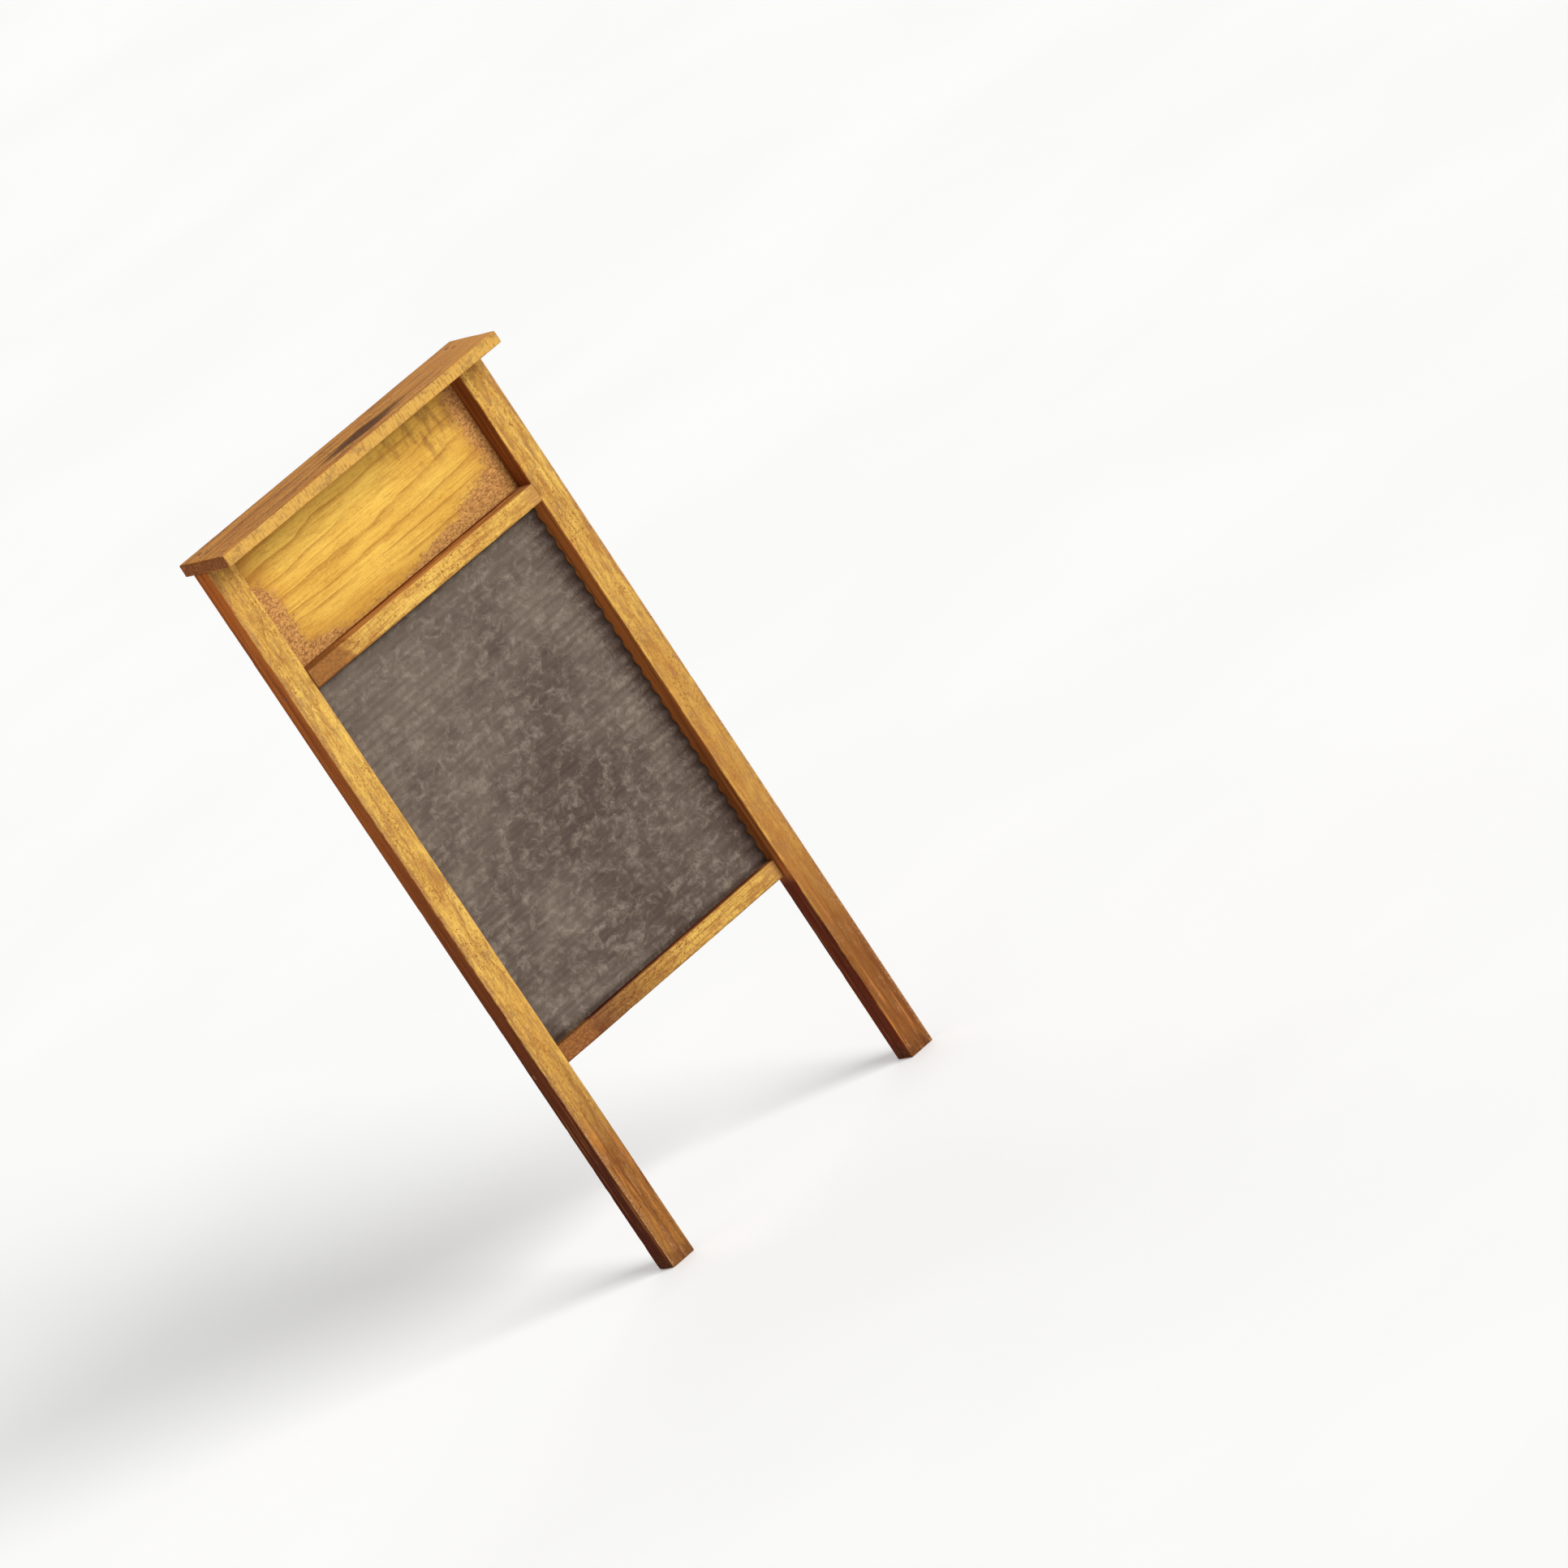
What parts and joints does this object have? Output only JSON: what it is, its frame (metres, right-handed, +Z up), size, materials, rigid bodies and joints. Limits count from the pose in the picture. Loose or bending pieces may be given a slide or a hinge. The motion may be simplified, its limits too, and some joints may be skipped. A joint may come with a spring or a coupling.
{
  "type": "washboard",
  "caption": "Wooden washboard: two legs under a wide top shelf, a recessed soap panel, and a corrugated zinc rubbing sheet framed by rails.",
  "frame": {"origin": "centre of the whole board's footprint, at the level of the feet", "axes": "+Z up along the board, +X to the right as its face is seen, the face looks along -Y"},
  "size_m": [0.277, 0.0636, 0.61],
  "materials": {
    "stile_wood": "old golden wood, worn satin",
    "cap_wood": "old golden wood with dark streaks",
    "rail_wood": "old golden wood, worn satin",
    "panel_wood": "old golden wood, dirt in the corners",
    "back_wood": "thin rough-sawn wood, dull",
    "zinc": "dull mottled zinc",
    "nail_iron": "dark rusty iron"
  },
  "bodies": {
    "root": {"left_stile": "stile_wood", "right_stile": "stile_wood", "cap_board": "cap_wood", "mid_rail": "rail_wood", "bottom_rail": "rail_wood", "soap_panel": "panel_wood", "back_board_upper": "back_wood", "back_board_middle": "back_wood", "back_board_lower": "back_wood", "rub_sheet": "zinc", "cap_nails": "nail_iron", "rail_nails": "nail_iron", "soap_panel_nails": "nail_iron", "back_board_nails": "nail_iron"}
  },
  "joints": []
}
